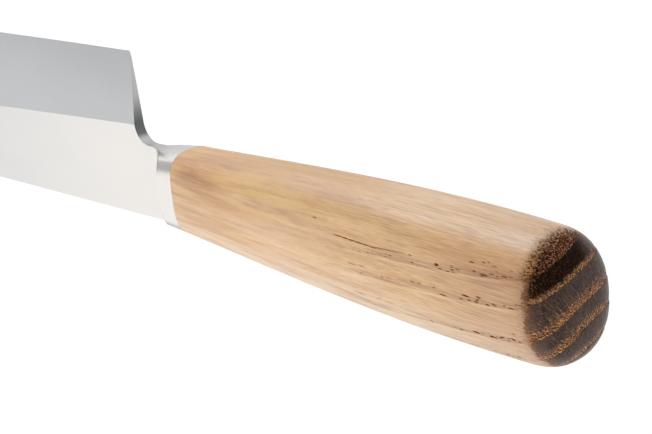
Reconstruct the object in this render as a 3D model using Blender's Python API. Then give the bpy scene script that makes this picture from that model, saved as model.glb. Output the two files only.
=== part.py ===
"""Yanagiba, a long single-bevel slicing knife.

The blade is ground from one side only. Its short tenon is welded into a steel bolster, and so is
the front of a flat tang, which is glued into a blind bore in a one-piece chestnut handle.

The pieces are modelled along the handle's axis: x runs from the butt to the tip, y from the edge
to the spine and z from the flat back to the bevelled side. The whole knife is then laid on its
back, with +Z up, as it rests on a board.
"""
import math

import bmesh
import bpy
from mathutils import Vector

# Space that neighbouring pieces keep between them
GAP = 0.0003

# Handle: heights run from edge to spine and widths from side to side, at four equal steps
HANDLE_LENGTH = 0.118
BUTT_HEIGHT = 0.0255
SWELL_HEIGHT = 0.0263
WAIST_HEIGHT = 0.0233
FRONT_HEIGHT = 0.0190
BUTT_WIDTH = 0.0204
SWELL_WIDTH = 0.0202
WAIST_WIDTH = 0.0171
FRONT_WIDTH = 0.0135
BUTT_SQUARENESS = 2.2
FRONT_SQUARENESS = 3.2
DOME_LENGTH = 0.0102
DOME_SQUARENESS = 2.8

# Tang and the adhesive that holds it
TANG_HEIGHT = 0.008
TANG_THICKNESS = 0.003
TANG_IN_HANDLE = 0.075
TANG_IN_BOLSTER = 0.0035
TANG_END_TAPER = 0.006
TANG_END_HEIGHT = 0.005
GLUE_LINE = 0.0012
GLUE_AT_END = 0.002

# Bolster
BOLSTER_LENGTH = 0.0115
RIM_WIDTH = 0.0129
RIM_FROM_WOOD = 0.0057
SCOOP_RADIUS = 0.009
NECK_TO_AXIS = 0.0080

# Blade
BLADE_LENGTH = 0.270
BLADE_HEIGHT = 0.0386
BLADE_THICKNESS = 0.0026
TIP_THICKNESS = 0.0010
EDGE_THICKNESS = 0.0002
SPINE_TO_AXIS = 0.0089
SPINE_SLOPE = 0.0403
SPINE_DROP = 0.0045
DROP_START = 0.5
HEIGHT_LOSS = 0.12
BELLY_SHARPNESS = 5.5
BELLY_ROUNDNESS = 1.05
BEVEL_SHARE_HEEL = 0.43
BEVEL_SHARE_TIP = 0.68
HEEL_FROM_WOOD = 0.0206
HEEL_LEAN = 0.05
HEEL_FILLET = 0.0046
HEEL_CORNER = 0.0010
TENON_LENGTH = 0.0035
TENON_HEIGHT = 0.010
TENON_SHOULDER = 0.0004

# Hollow in the flat back of the blade
HOLLOW_DEPTH = 0.00025
HOLLOW_FROM_SPINE = 0.0035
HOLLOW_FROM_EDGE = 0.0020
HOLLOW_FROM_HEEL = 0.010
HOLLOW_FROM_TIP = 0.016

# Fineness of the curved shapes
RING_POINTS = 48
DOME_RINGS = 9
BODY_RINGS = 18
BLADE_STEPS = 44
ARC_STEPS = 10
HOLLOW_ACROSS = 8
SCOOP_POINTS = 96
SHORT_OF_TIP = 0.000135

# How far the bevel's cut reaches past the ridge line and past the edge, as shares of the bevel
CUT_PAST_RIDGE = 0.15
CUT_PAST_EDGE = 0.4

# Edges are shaded sharp where they turn by more than these angles, in degrees
SHARP_TURN = 30
SHARP_TURN_AT_FLAT = 0.8
FLAT_AREA = 0.0001

# Sizes that follow from the ones above
BOLSTER_START = HANDLE_LENGTH + GAP
BOLSTER_END = BOLSTER_START + BOLSTER_LENGTH
NECK_START = BOLSTER_END + GAP
HEEL_X = HANDLE_LENGTH + HEEL_FROM_WOOD
TIP_X = HEEL_X + BLADE_LENGTH
BACK_Z = -BLADE_THICKNESS / 2
FACE_Z = BLADE_THICKNESS / 2
BORE_HEIGHT = TANG_HEIGHT + 2 * GLUE_LINE
BORE_WIDTH = TANG_THICKNESS + 2 * GLUE_LINE
BORE_DEPTH = TANG_IN_HANDLE + GLUE_AT_END
TANG_BACK = HANDLE_LENGTH - TANG_IN_HANDLE
CUT_SPARE = 0.004


def clear_scene():
    for thing in list(bpy.data.objects):
        bpy.data.objects.remove(thing, do_unlink=True)


def make_material(name, colour, roughness, metallic):
    material = bpy.data.materials.new(name)
    material.use_nodes = True
    shader = material.node_tree.nodes["Principled BSDF"]
    shader.inputs["Base Color"].default_value = (*colour, 1.0)
    shader.inputs["Roughness"].default_value = roughness
    shader.inputs["Metallic"].default_value = metallic
    return material


def shade(bm):
    """Smooth shading that breaks at corners, and at any crease along a wide flat face."""
    for face in bm.faces:
        face.smooth = True
    for edge in bm.edges:
        turn = math.degrees(edge.calc_face_angle(math.pi))
        at_flat = max(face.calc_area() for face in edge.link_faces) > FLAT_AREA
        edge.smooth = turn < (SHARP_TURN_AT_FLAT if at_flat else SHARP_TURN)


def finish_mesh(name, bm, material=None):
    """A named object from a bmesh, its faces turned outwards."""
    bmesh.ops.recalc_face_normals(bm, faces=bm.faces)
    shade(bm)
    mesh = bpy.data.meshes.new(name)
    bm.to_mesh(mesh)
    bm.free()
    thing = bpy.data.objects.new(name, mesh)
    bpy.context.scene.collection.objects.link(thing)
    if material:
        mesh.materials.append(material)
    return thing


def work(thing, cutters, added=()):
    """Cuts and adds the given shapes, keeps the result as the piece's mesh and clears the shapes away."""
    for operation, others in (("DIFFERENCE", cutters), ("UNION", added)):
        for other in others:
            modifier = thing.modifiers.new(other.name, "BOOLEAN")
            modifier.operation = operation
            modifier.solver = "EXACT"
            modifier.object = other
    graph = bpy.context.evaluated_depsgraph_get()
    mesh = bpy.data.meshes.new_from_object(thing.evaluated_get(graph))
    thing.modifiers.clear()
    thing.data = mesh
    mesh.name = thing.name
    bm = bmesh.new()
    bm.from_mesh(mesh)
    shade(bm)
    bm.to_mesh(mesh)
    bm.free()
    for other in (*cutters, *added):
        bpy.data.objects.remove(other, do_unlink=True)
    return thing


def loft(name, rings, material=None, pole=None):
    """A closed skin over rings of equal count; a pole closes the first ring in a fan."""
    bm = bmesh.new()
    rows = [[bm.verts.new(point) for point in ring] for ring in rings]
    for row, following in zip(rows, rows[1:]):
        for i in range(len(row)):
            j = (i + 1) % len(row)
            bm.faces.new((row[i], row[j], following[j], following[i]))
    if pole is None:
        bm.faces.new(rows[0])
    else:
        centre = bm.verts.new(pole)
        for i, vert in enumerate(rows[0]):
            bm.faces.new((centre, vert, rows[0][(i + 1) % len(rows[0])]))
    bm.faces.new(rows[-1])
    return finish_mesh(name, bm, material)


def box_rings(x_heights_widths, centre_y=0.0):
    """Rectangular rings across the x axis, one for each (x, height, width)."""
    rings = []
    for x, height, width in x_heights_widths:
        corners = ((-1, -1), (1, -1), (1, 1), (-1, 1))
        rings.append([Vector((x, centre_y + a * height / 2, b * width / 2)) for a, b in corners])
    return rings


def slot_ring(x, height, width):
    """A round-ended slot across the x axis."""
    radius = width / 2
    straight = max(height / 2 - radius, 0)
    ring = []
    for side in (1, -1):
        for step in range(ARC_STEPS + 1):
            turn = math.pi * (step / ARC_STEPS - 0.5)
            y = side * (straight + radius * math.cos(turn))
            ring.append(Vector((x, y, side * radius * math.sin(turn))))
    return ring


def through_four(u, values):
    """The cubic through four values at u = 0, 1/3, 2/3 and 1."""
    total = 0.0
    for i, value in enumerate(values):
        weight = 1.0
        for j in range(4):
            if j != i:
                weight *= (3 * u - j) / (i - j)
        total += weight * value
    return total


def handle_half_height(x):
    stations = (BUTT_HEIGHT, SWELL_HEIGHT, WAIST_HEIGHT, FRONT_HEIGHT)
    return through_four(x / HANDLE_LENGTH, stations) / 2


def handle_half_width(x):
    stations = (BUTT_WIDTH, SWELL_WIDTH, WAIST_WIDTH, FRONT_WIDTH)
    return through_four(x / HANDLE_LENGTH, stations) / 2


def dome_factor(x):
    """How far the rounded butt draws the section in at x."""
    if x >= DOME_LENGTH:
        return 1.0
    return (1 - (1 - x / DOME_LENGTH) ** DOME_SQUARENESS) ** (1 / DOME_SQUARENESS)


def rounded_ring(x, centre_y, half_height, half_width, squareness):
    """A superellipse across the x axis."""
    ring = []
    for i in range(RING_POINTS):
        turn = 2 * math.pi * (i + 0.5) / RING_POINTS
        cos, sin = math.cos(turn), math.sin(turn)
        y = centre_y + half_height * math.copysign(abs(cos) ** (2 / squareness), cos)
        z = half_width * math.copysign(abs(sin) ** (2 / squareness), sin)
        ring.append(Vector((x, y, z)))
    return ring


def handle_ring(x):
    squareness = BUTT_SQUARENESS + (FRONT_SQUARENESS - BUTT_SQUARENESS) * x / HANDLE_LENGTH
    factor = dome_factor(x)
    return rounded_ring(x, 0, handle_half_height(x) * factor, handle_half_width(x) * factor, squareness)


def make_handle(material):
    places = []
    for i in range(1, DOME_RINGS + 1):
        places.append(DOME_LENGTH * (1 - math.cos(math.pi / 2 * i / (DOME_RINGS + 1))))
    for i in range(BODY_RINGS + 1):
        places.append(DOME_LENGTH + (HANDLE_LENGTH - DOME_LENGTH) * i / BODY_RINGS)
    handle = loft("handle", [handle_ring(x) for x in places], material, Vector((0, 0, 0)))
    bore_ends = (HANDLE_LENGTH - BORE_DEPTH, HANDLE_LENGTH + CUT_SPARE)
    bore = loft("bore", [slot_ring(x, BORE_HEIGHT, BORE_WIDTH) for x in bore_ends])
    return work(handle, [bore])


def tang_rings(extra):
    """The tang's rectangular sections, from its narrow end in the handle to the bolster."""
    front = BOLSTER_START + TANG_IN_BOLSTER
    taper_end = TANG_BACK + TANG_END_TAPER
    end_height = min(TANG_END_HEIGHT, TANG_HEIGHT)
    thick = TANG_THICKNESS + 2 * extra
    sections = ((TANG_BACK - extra, end_height + 2 * extra, thick),
                (taper_end - extra, TANG_HEIGHT + 2 * extra, thick),
                (front + extra, TANG_HEIGHT + 2 * extra, thick))
    return box_rings(sections)


def make_tang(material):
    return loft("tang", tang_rings(0), material)


def make_adhesive(material):
    ends = (HANDLE_LENGTH - BORE_DEPTH + GAP, HANDLE_LENGTH)
    rings = [slot_ring(x, BORE_HEIGHT - 2 * GAP, BORE_WIDTH - 2 * GAP) for x in ends]
    adhesive = loft("tang_adhesive", rings, material)
    return work(adhesive, [loft("pocket", tang_rings(GAP))])


def spine_y(x):
    """The spine's line: straight, then easing towards the edge before the tip."""
    past = max((x - HEEL_X) / BLADE_LENGTH - DROP_START, 0) / (1 - DROP_START)
    return SPINE_TO_AXIS + SPINE_SLOPE * (x - HANDLE_LENGTH) - SPINE_DROP * past ** 2


def blade_depth(x):
    """The distance from spine to edge, which runs out at the tip."""
    u = min(max((x - HEEL_X) / BLADE_LENGTH, 0), 1)
    belly = max(1 - u ** BELLY_SHARPNESS, 0) ** (1 / BELLY_ROUNDNESS)
    return BLADE_HEIGHT * (1 - HEIGHT_LOSS * u * u) * belly


def edge_y(x):
    return spine_y(x) - blade_depth(x)


def bevel_top_y(x):
    """The ridge line where the flat face turns into the bevel."""
    u = min(max((x - HEEL_X) / BLADE_LENGTH, 0), 1)
    share = BEVEL_SHARE_HEEL + (BEVEL_SHARE_TIP - BEVEL_SHARE_HEEL) * u
    return edge_y(x) + share * blade_depth(x)


def face_z(x):
    """The flat face comes down steadily from the neck to the tip."""
    return FACE_Z - (BLADE_THICKNESS - TIP_THICKNESS) * (x - NECK_START) / (TIP_X - NECK_START)


def blade_places():
    """Places along the blade, closer together towards the tip."""
    return [HEEL_X + BLADE_LENGTH * math.sin(math.pi / 2 * i / BLADE_STEPS) for i in range(BLADE_STEPS + 1)]


def arc(centre, radius, start, end):
    points = []
    for i in range(ARC_STEPS + 1):
        turn = start + (end - start) * i / ARC_STEPS
        points.append((centre[0] + radius * math.cos(turn), centre[1] + radius * math.sin(turn)))
    return points


def heel_outline():
    """From the neck, round the fillet and up the leaning heel to its eased corner at the edge."""
    lean = math.atan(HEEL_LEAN)
    edge_slope = math.atan(SPINE_SLOPE)
    edge_at_heel = edge_y(HEEL_X)
    foot_x = HEEL_X - HEEL_LEAN * (-NECK_TO_AXIS - edge_at_heel)
    room = max(foot_x - NECK_START - GAP, GAP)
    radius = min(HEEL_FILLET, room)
    centre_y = -NECK_TO_AXIS - radius
    centre_x = foot_x - radius / math.cos(lean) + HEEL_LEAN * radius
    points = [(NECK_START, -NECK_TO_AXIS)]
    points += arc((centre_x, centre_y), radius, math.pi / 2, -lean)
    corner_x = HEEL_X + HEEL_CORNER
    corner_y = edge_at_heel + HEEL_CORNER
    points += arc((corner_x, corner_y), HEEL_CORNER, math.pi - lean, 1.5 * math.pi + edge_slope)
    return points


def blade_outline():
    """The side view of neck and blade, taken once round."""
    outline = heel_outline()
    corner_end = outline[-1][0]
    outline += [(x, edge_y(x)) for x in blade_places() if x > corner_end + GAP]
    outline += [(x, spine_y(x)) for x in reversed(blade_places()[:-1])]
    outline.append((NECK_START, spine_y(NECK_START)))
    return outline


def make_bevel_cutter():
    """Everything above the ruled surface from the ridge line to the edge."""
    rings = []
    places = [HEEL_X - CUT_SPARE] + blade_places()[:-1]
    places.append(TIP_X + EDGE_THICKNESS)
    for x in places:
        along = min(x, TIP_X - SHORT_OF_TIP)
        ridge = Vector((x, bevel_top_y(along), face_z(along)))
        edge = Vector((x, edge_y(along), BACK_Z + EDGE_THICKNESS))
        inner = ridge.lerp(edge, -CUT_PAST_RIDGE)
        outer = ridge.lerp(edge, 1 + CUT_PAST_EDGE)
        lift = Vector((0, 0, BLADE_THICKNESS * 3))
        rings.append([inner, outer, outer + lift, inner + lift])
    return loft("bevel_cutter", rings)


def make_hollow_cutter():
    """A long shallow lens under the back, which fades out at both ends."""
    start = HEEL_X + HOLLOW_FROM_HEEL
    length = TIP_X - HOLLOW_FROM_TIP - start
    clear = EDGE_THICKNESS / 4
    rings = []
    for i in range(BLADE_STEPS + 1):
        share = i / BLADE_STEPS
        x = start + length * share
        depth = HOLLOW_DEPTH * math.sin(math.pi * share) ** 0.5 if 0 < share < 1 else 0
        near_spine = spine_y(x) - HOLLOW_FROM_SPINE
        near_edge = edge_y(x) + HOLLOW_FROM_EDGE
        middle = (near_spine + near_edge) / 2
        half = max((near_spine - near_edge) / 2, EDGE_THICKNESS)
        ring = []
        for j in range(HOLLOW_ACROSS + 1):
            across = 2 * j / HOLLOW_ACROSS - 1
            z = BACK_Z - clear + (depth + clear) * (1 - across * across)
            ring.append(Vector((x, middle + half * across, z)))
        below = BACK_Z - BLADE_THICKNESS
        ring += [Vector((x, middle + half, below)), Vector((x, middle - half, below))]
        rings.append(ring)
    return loft("hollow_cutter", rings)


def make_tenon():
    thickness = BLADE_THICKNESS - 2 * TENON_SHOULDER
    ends = ((NECK_START - TENON_LENGTH, TENON_HEIGHT, thickness), (NECK_START + GAP, TENON_HEIGHT, thickness))
    return loft("tenon", box_rings(ends))


def make_blade(material):
    outline = blade_outline()
    back = [Vector((x, y, BACK_Z)) for x, y in outline]
    face = [Vector((x, y, face_z(x))) for x, y in outline]
    blade = loft("blade", [back, face], material)
    return work(blade, [make_bevel_cutter(), make_hollow_cutter()], [make_tenon()])


def bolster_ring(x):
    """The handle's front section, drawn in to the neck's height by the bolster's front end."""
    share = (x - BOLSTER_START) / BOLSTER_LENGTH
    to_rim = (x - BOLSTER_START) / RIM_FROM_WOOD
    edge_side = -FRONT_HEIGHT / 2 + (FRONT_HEIGHT / 2 - NECK_TO_AXIS) * share
    spine_side = FRONT_HEIGHT / 2 + (spine_y(x) - FRONT_HEIGHT / 2) * share
    half_width = (FRONT_WIDTH + (RIM_WIDTH - FRONT_WIDTH) * to_rim) / 2
    centre = (edge_side + spine_side) / 2
    return rounded_ring(x, centre, (spine_side - edge_side) / 2, half_width, FRONT_SQUARENESS)


def make_scoop(name, side):
    """The round cut that brings one side of the bolster down to the blade's face."""
    centre_z = FACE_Z + SCOOP_RADIUS
    rise = centre_z - RIM_WIDTH / 2
    reach = math.sqrt(max(SCOOP_RADIUS ** 2 - rise ** 2, 0))
    centre_x = BOLSTER_START + RIM_FROM_WOOD + reach
    rings = []
    for y in (-FRONT_HEIGHT, FRONT_HEIGHT):
        ring = []
        for i in range(SCOOP_POINTS):
            turn = 2 * math.pi * i / SCOOP_POINTS
            x = centre_x + SCOOP_RADIUS * math.cos(turn)
            ring.append(Vector((x, y, side * (centre_z + SCOOP_RADIUS * math.sin(turn)))))
        rings.append(ring)
    return loft(name, rings)


def make_bolster(material):
    places = [BOLSTER_START + BOLSTER_LENGTH * i / ARC_STEPS for i in range(ARC_STEPS + 1)]
    bolster = loft("bolster", [bolster_ring(x) for x in places], material)
    mortise_size = (TENON_HEIGHT + 2 * GAP, BLADE_THICKNESS - 2 * TENON_SHOULDER + 2 * GAP)
    mortise_ends = (NECK_START - TENON_LENGTH - GAP, BOLSTER_END + CUT_SPARE)
    mortise = loft("mortise", box_rings([(x, *mortise_size) for x in mortise_ends]))
    hole_size = (TANG_HEIGHT + 2 * GAP, TANG_THICKNESS + 2 * GAP)
    hole_ends = (BOLSTER_START - CUT_SPARE, BOLSTER_START + TANG_IN_BOLSTER + GAP)
    tang_hole = loft("tang_hole", box_rings([(x, *hole_size) for x in hole_ends]))
    return work(bolster, [make_scoop("face_scoop", 1), make_scoop("back_scoop", -1), mortise, tang_hole])


def rest_slope():
    """The slope of a table that touches the handle's belly and the back of the tip."""
    slopes = []
    steps = BODY_RINGS * 10
    for i in range(steps):
        x = HANDLE_LENGTH * i / steps
        belly = handle_half_width(x) * dome_factor(x)
        slopes.append((belly + BACK_Z) / (TIP_X - x))
    return max(slopes)


def lay_down(pieces):
    """Lays the knife on its back, with the middle of its footprint at the origin."""
    knife = bpy.data.objects.new("knife", None)
    bpy.context.scene.collection.objects.link(knife)
    knife.rotation_euler = (0, math.atan(rest_slope()), 0)
    for piece in pieces:
        piece.parent = knife
    bpy.context.view_layer.update()
    points = [piece.matrix_world @ vert.co for piece in pieces for vert in piece.data.vertices]
    lows = [min(point[i] for point in points) for i in range(3)]
    highs = [max(point[i] for point in points) for i in range(3)]
    knife.location = (-(lows[0] + highs[0]) / 2, -(lows[1] + highs[1]) / 2, -lows[2])


def main():
    clear_scene()
    wood = make_material("chestnut", (0.62, 0.40, 0.22), 0.55, 0.0)
    steel = make_material("polished_blade_steel", (0.78, 0.78, 0.77), 0.18, 1.0)
    bolster_steel = make_material("satin_bolster_steel", (0.74, 0.75, 0.76), 0.25, 1.0)
    tang_steel = make_material("plain_tang_steel", (0.45, 0.45, 0.46), 0.5, 1.0)
    epoxy = make_material("epoxy", (0.75, 0.66, 0.42), 0.4, 0.0)
    pieces = [
        make_blade(steel),
        make_bolster(bolster_steel),
        make_tang(tang_steel),
        make_adhesive(epoxy),
        make_handle(wood),
    ]
    lay_down(pieces)


main()
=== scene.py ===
import math

import bmesh
import bpy
from mathutils import Matrix, Vector


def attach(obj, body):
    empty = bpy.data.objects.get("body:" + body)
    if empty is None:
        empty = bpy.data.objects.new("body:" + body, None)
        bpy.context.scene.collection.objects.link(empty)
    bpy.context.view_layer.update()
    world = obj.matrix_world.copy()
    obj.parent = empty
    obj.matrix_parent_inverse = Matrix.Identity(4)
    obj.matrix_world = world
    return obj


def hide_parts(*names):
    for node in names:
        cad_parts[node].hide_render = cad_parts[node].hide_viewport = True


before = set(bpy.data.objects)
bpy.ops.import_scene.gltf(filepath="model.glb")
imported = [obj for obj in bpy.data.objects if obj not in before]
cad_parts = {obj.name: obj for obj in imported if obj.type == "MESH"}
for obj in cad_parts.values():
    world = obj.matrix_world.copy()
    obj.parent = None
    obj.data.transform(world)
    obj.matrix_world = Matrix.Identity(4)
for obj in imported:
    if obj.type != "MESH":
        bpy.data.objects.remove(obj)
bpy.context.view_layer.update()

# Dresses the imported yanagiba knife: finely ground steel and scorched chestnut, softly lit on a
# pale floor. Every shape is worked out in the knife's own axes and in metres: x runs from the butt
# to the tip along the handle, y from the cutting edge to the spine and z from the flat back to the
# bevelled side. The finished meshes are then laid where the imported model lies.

MM = 0.001
ALONG, ACROSS = 0, 1

# Handle: heights run from edge to spine, widths from side to side, each given at four spots that
# are evenly spaced from the butt to the front
HANDLE_LENGTH = 0.118
HANDLE_SIZES = {
    "Length": HANDLE_LENGTH,
    "Butt Height": 0.0255,
    "Swell Height": 0.0263,
    "Waist Height": 0.0233,
    "Front Height": 0.0190,
    "Butt Width": 0.0204,
    "Swell Width": 0.020106,
    "Waist Width": 0.0171,
    "Front Width": 0.0135,
    "Butt Squareness": 2.2,
    "Front Squareness": 3.2,
    "Dome Length": 0.0102,
    "Dome Squareness": 2.8,
    "Butt Ease": 0.000056,
    "Seam": 0.00014,
    "Bore Height": 0.0107,
    "Bore Width": 0.0057,
    "Bore Squareness": 4.0,
    "Bore Depth": 0.0772,
    "Pit Depth": 0.00012,
}
SPOTS = ("Butt", "Swell", "Waist", "Front")

# Bolster: its sizes are counted from a welding gap away from the wood. Its skin starts a little
# nearer to the wood, and stands out past the solid's by the lip
WELD_GAP = 0.0003
BOLSTER_START = HANDLE_LENGTH + 0.00016
BOLSTER_REFERENCE = HANDLE_LENGTH + WELD_GAP
BOLSTER_LENGTH = 0.0115
FRONT_HEIGHT = HANDLE_SIZES["Front Height"]
FRONT_WIDTH = HANDLE_SIZES["Front Width"]
FRONT_SQUARENESS = HANDLE_SIZES["Front Squareness"]
RIM_WIDTH = 0.0129
RIM_FROM_WOOD = 0.0057
SCOOP_RADIUS = 0.009
RIM_EASE = 0.00022
NECK_TO_AXIS = 0.0080
HOLE_SQUARENESS = 9.0
TANG_IN_BOLSTER = 0.0035
TANG_HOLE = (0.0043, 0.0018)
TANG_HOLE_END = BOLSTER_REFERENCE + TANG_IN_BOLSTER + WELD_GAP
LIP = 0.000006

# Blade: its heel's painted shade starts at the first heel wall, counted round the outline from the
# neck
NECK_START = BOLSTER_REFERENCE + BOLSTER_LENGTH + WELD_GAP
BLADE_LENGTH = 0.270
BLADE_HEIGHT = 0.0386
BLADE_THICKNESS = 0.0026
TIP_THICKNESS = 0.0010
EDGE_THICKNESS = 0.00004
SPINE_TO_AXIS = 0.0089
SPINE_SLOPE = 0.0403
SPINE_DROP = 0.0045
DROP_START = 0.5
HEIGHT_LOSS = 0.12
BELLY_SHARPNESS = 5.5
BELLY_ROUNDNESS = 1.05
BEVEL_SHARE_HEEL = 0.43
BEVEL_SHARE_TIP = 0.68
HEEL_X = HANDLE_LENGTH + 0.0206
TIP_X = HEEL_X + BLADE_LENGTH
HEEL_LEAN = 0.05
HEEL_FILLET = 0.0046
HEEL_CORNER = 0.0010
FIRST_HEEL_WALL = 1
BACK_Z = -BLADE_THICKNESS / 2
FACE_Z = BLADE_THICKNESS / 2
CORNER_EASE = 0.00014
TENON_LENGTH = 0.0035
MORTISE = (0.0053, 0.0012)
MORTISE_END = NECK_START - TENON_LENGTH - WELD_GAP
HOLLOW_DEPTH = 0.00025
HOLLOW_FROM_SPINE = 0.0035
HOLLOW_FROM_EDGE = 0.0020
HOLLOW_START = HEEL_X + 0.010
HOLLOW_END = TIP_X - 0.016

# Fineness of the meshes, and the distances within which their points are merged
HANDLE_ROWS = 330
DOME_SHARE = 0.16
HANDLE_COLUMNS = 264
BOLSTER_ROWS = 46
BOLSTER_COLUMNS = 160
BLADE_COLUMNS = 150
HOLLOW_ROWS = 14
ARC_STEPS = 18
MERGE_IN_HANDLE = 0.002 * MM
MERGE_WITHIN = 0.0005 * MM

# Growth rings in millimetres: the pith runs beside the handle. Each ring has the radius where it
# starts and the width of the porous wood that it starts with. The radius at a place grows by the
# drift with each millimetre towards the bolster
PITH = (22.6, -8.5)
RINGS = ((15.8, 1.8), (20.7, 2.2), (25.1, 2.6), (30.65, 1.15), (34.4, 5.0), (41.5, 2.2))
RING_DRIFT = 0.068

# Scorched and brushed butt: how far the scorching reaches and how deep the brushing goes. The open
# pores stop short of the bolster. All in millimetres
SCORCH_END = 5.3
BRUSHED_DEPTH = 0.08
PITS_END = 116.0

# Marks in the wood: place along the handle in millimetres, turn from the spine round the bevelled
# side in degrees, half length and half width in millimetres, and strength. The long check is a
# chain of them that fades towards the butt
LONG_CHECK = tuple(
    (57.5 - 2.2 * i, 104.7 + 0.9 * max(i - 5, 0), 2.2, 0.21, 0.95 - 0.07 * i)
    for i in range(10)
)
CHECKS = (
    *LONG_CHECK,
    (53.5, 89.5, 2.6, 0.18, 0.5),
    (50.5, 89.9, 1.6, 0.18, 0.45),
    (42.5, 88.6, 2.0, 0.18, 0.4),
    (35.1, 90.3, 0.9, 0.20, 0.6),
    (33.1, 90.6, 0.7, 0.18, 0.6),
    (28.9, 91.0, 0.7, 0.18, 0.7),
    (21.6, 89.9, 0.9, 0.20, 0.8),
    (19.4, 90.3, 0.8, 0.18, 0.8),
    (14.5, 91.0, 0.8, 0.20, 0.8),
    (10.2, 93.8, 0.6, 0.20, 0.8),
    (16.0, 122.5, 0.7, 0.20, 0.8),
    (14.8, 124.0, 0.6, 0.18, 0.7),
    (18.0, 112.6, 0.7, 0.20, 0.8),
    (13.6, 114.8, 0.8, 0.20, 0.8),
    (46.5, 67.5, 1.2, 0.18, 0.4),
    (8.9, 74.6, 0.6, 0.20, 0.7),
    (15.5, 112, 1.5, 0.28, 0.9),
    (28.0, 108, 0.9, 0.30, 1.0),
    (22.3, 109.5, 1.1, 0.20, 0.7),
    (35.5, 108.5, 0.9, 0.20, 0.6),
    (20.3, 92, 1.6, 0.25, 1.0),
    (26.6, 89, 1.4, 0.20, 0.9),
    (13.0, 92.5, 0.7, 0.22, 0.7),
    (6.5, 74, 0.8, 0.30, 0.9),
    (10.7, 66, 0.7, 0.25, 0.8),
    (15.0, 66, 0.8, 0.30, 0.9),
    (19.2, 65, 1.4, 0.28, 0.9),
    (23.5, 62.5, 0.9, 0.25, 0.8),
    (44.0, 67, 2.2, 0.22, 0.4),
    (53.0, 66, 2.6, 0.22, 0.4),
    (65.0, 115, 1.2, 0.25, 0.5),
    (19.0, 119.5, 1.0, 0.22, 0.8),
    (13.2, 122, 1.1, 0.20, 0.6),
    (10.4, 116, 1.0, 0.22, 0.8),
    (9.0, 122.5, 0.8, 0.20, 0.7),
    (16.8, 93.8, 1.0, 0.20, 0.8),
    (8.4, 93.4, 1.4, 0.22, 0.8),
)
CHECKS_WANDER = (0.2, 6.0, 1.0, 1.0)
DARK_STREAKS = (
    (108, 116, 15, 2.6, 0.65),
    (98, 112, 14, 1.2, 0.40),
    (104, 160, 16, 3.6, 0.40),
    (87, 113, 6, 0.9, 0.45),
    (70, 105, 6, 0.7, 0.40),
    (80, 112, 16, 2.4, 0.25),
    (45, 106, 16, 0.8, 0.35),
    (12, 112, 12, 3.2, 0.30),
    (14, 107, 8, 2.0, 0.50),
    (88, 109, 9, 1.3, 0.50),
    (107, 130, 10, 1.8, 0.55),
    (113, 143, 8, 2.2, 0.50),
    (106, 108, 10, 2.0, 0.55),
)
STRAW_STREAKS = (
    (72, 118, 12, 1.6, 0.7),
    (37, 125, 12, 2.2, 0.5),
    (57, 129, 10, 2.0, 0.4),
    (50, 125, 22, 2.4, 0.3),
    (84, 128, 14, 2.0, 0.4),
    (80, 127, 26, 4.5, 0.35),
)

# Camera, in the knife's axes
EYE = Vector((-0.2342449, -0.1351476, 0.2311980))
AIM = Vector((0.0725661, -0.0025123, 0.0))
CAMERA_ROLL = math.radians(-7.14893)
FOCAL_PIXELS = 2002.142
PICTURE_WIDTH = 652
SENSOR_WIDTH = 36

# Studio: each light's azimuth, from the tip's direction towards the spine's, and elevation, the
# half angles where it starts and stops fading, all in degrees, and how much brighter or darker
# than the surround it is
SURROUND = 0.88
LIGHT_COLOUR = (1.0, 0.99, 0.975, 1.0)
LIGHTS = (
    (0, 90, 25, 40, -0.10),
    (57, 31, 44, 52, 1.00),
    (-33, 3, 12, 19, 0.80),
    (-54, 28, 20, 36, 0.60),
    (-57, 2, 10, 20, 4.2),
    (-127, 28, 34, 44, -0.45),
)

# Floor, and the pool of light on it beside the edge: the pool's half sizes and its middle along and
# across the knife, and how much brighter it is
FLOOR_HALF_SIZE = 4.0
FLOOR_COLOUR = (0.08, 0.08, 0.08, 1)
POOL_REACH = (0.130, 0.034, 1.0)
POOL_MIDDLE = (0.075, -0.042)
POOL_BRIGHTNESS = 0.8


def tone(code):
    """A linear colour from a hexadecimal display colour."""
    channels = [(code >> shift & 255) / 255 for shift in (16, 8, 0)]
    return [c / 12.92 if c <= 0.04045 else ((c + 0.055) / 1.055) ** 2.4 for c in channels] + [1.0]


class Wire:
    """A value in a node tree. Python's operators on it add the Math nodes that work it out."""

    def __init__(self, tree, socket):
        self.tree = tree
        self.socket = socket

    def math(self, operation, *others):
        node = self.tree.nodes.new("ShaderNodeMath")
        node.operation = operation
        for slot, value in zip(node.inputs, (self, *others)):
            feed(self.tree, slot, value)
        return Wire(self.tree, node.outputs[0])

    def __add__(self, other):
        return self.math("ADD", other)

    def __sub__(self, other):
        return self.math("SUBTRACT", other)

    def __mul__(self, other):
        return self.math("MULTIPLY", other)

    def __truediv__(self, other):
        return self.math("DIVIDE", other)

    def __pow__(self, other):
        return self.math("POWER", other)

    def __rsub__(self, other):
        return self.math("MULTIPLY_ADD", -1, other)

    __radd__ = __add__
    __rmul__ = __mul__

    def steps(self, low, high):
        """0 below low and 1 above high, or the other way round where low is the greater."""
        node = self.tree.nodes.new("ShaderNodeMapRange")
        node.interpolation_type = "SMOOTHSTEP"
        node.inputs["To Min"].default_value = 0 if low < high else 1
        node.inputs["To Max"].default_value = 1 if low < high else 0
        feed(self.tree, node.inputs["Value"], self)
        node.inputs["From Min"].default_value = min(low, high)
        node.inputs["From Max"].default_value = max(low, high)
        return Wire(self.tree, node.outputs["Result"])

    def parts(self):
        node = self.tree.nodes.new("ShaderNodeSeparateXYZ")
        feed(self.tree, node.inputs[0], self)
        return [Wire(self.tree, output) for output in node.outputs]


def feed(tree, slot, value):
    """Links a wire to a node's input, or sets the input to a plain value."""
    if isinstance(value, Wire):
        tree.links.new(value.socket, slot)
    else:
        slot.default_value = value


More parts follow.
